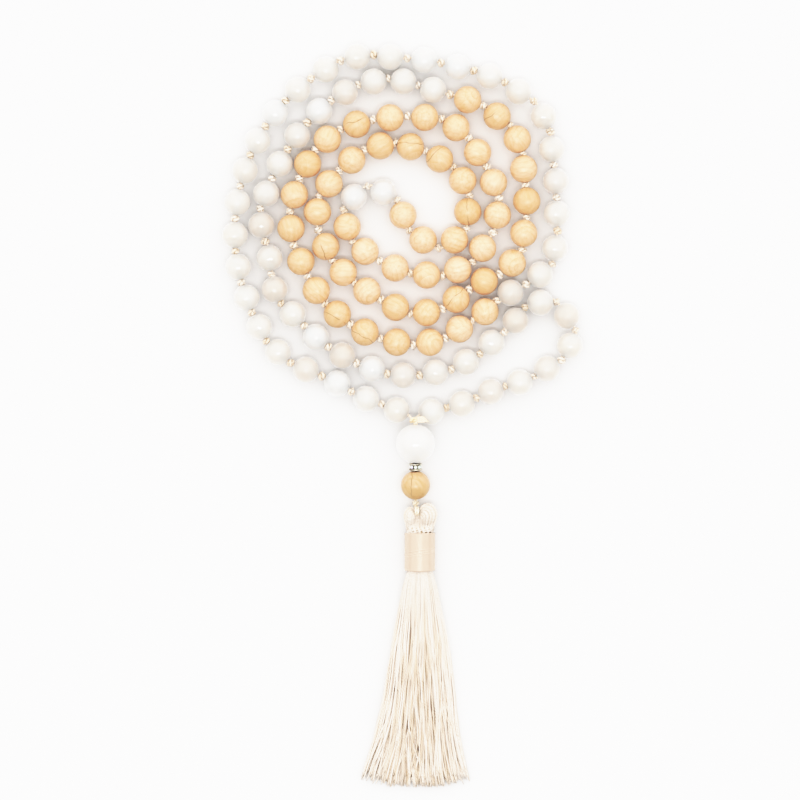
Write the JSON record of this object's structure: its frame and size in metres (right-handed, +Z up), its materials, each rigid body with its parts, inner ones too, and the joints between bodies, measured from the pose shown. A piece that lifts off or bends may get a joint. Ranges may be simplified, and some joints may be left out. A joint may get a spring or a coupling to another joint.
{
  "type": "mala",
  "caption": "Hand-knotted mala of round white stone and light wood beads, with a guru bead, a small silver spacer and an ivory thread tassel, lying coiled flat.",
  "frame": {"origin": "centre of the bounding box on the surface that the mala lies on", "axes": "+Z up from the surface, +Y from the tassel towards the coiled loop, +X to the right of the tassel seen from above with the tassel nearest"},
  "size_m": [0.1094, 0.2256, 0.0118],
  "materials": {
    "white_stone": "polished",
    "light_wood": "satin",
    "thread": "twisted thread",
    "silver": "polished",
    "clear_stone": "cut",
    "tassel_yarn": "twisted silky thread",
    "binding_yarn": "closely wound thread"
  },
  "bodies": {
    "root": {"white_beads": "white_stone", "wood_beads": "light_wood", "thread": "thread", "guru_bead": "white_stone", "spacer": "silver", "spacer_stones": "clear_stone", "pendant_bead": "light_wood", "tassel_cord": "thread", "tassel": "tassel_yarn", "tassel_binding": "binding_yarn"}
  },
  "joints": []
}
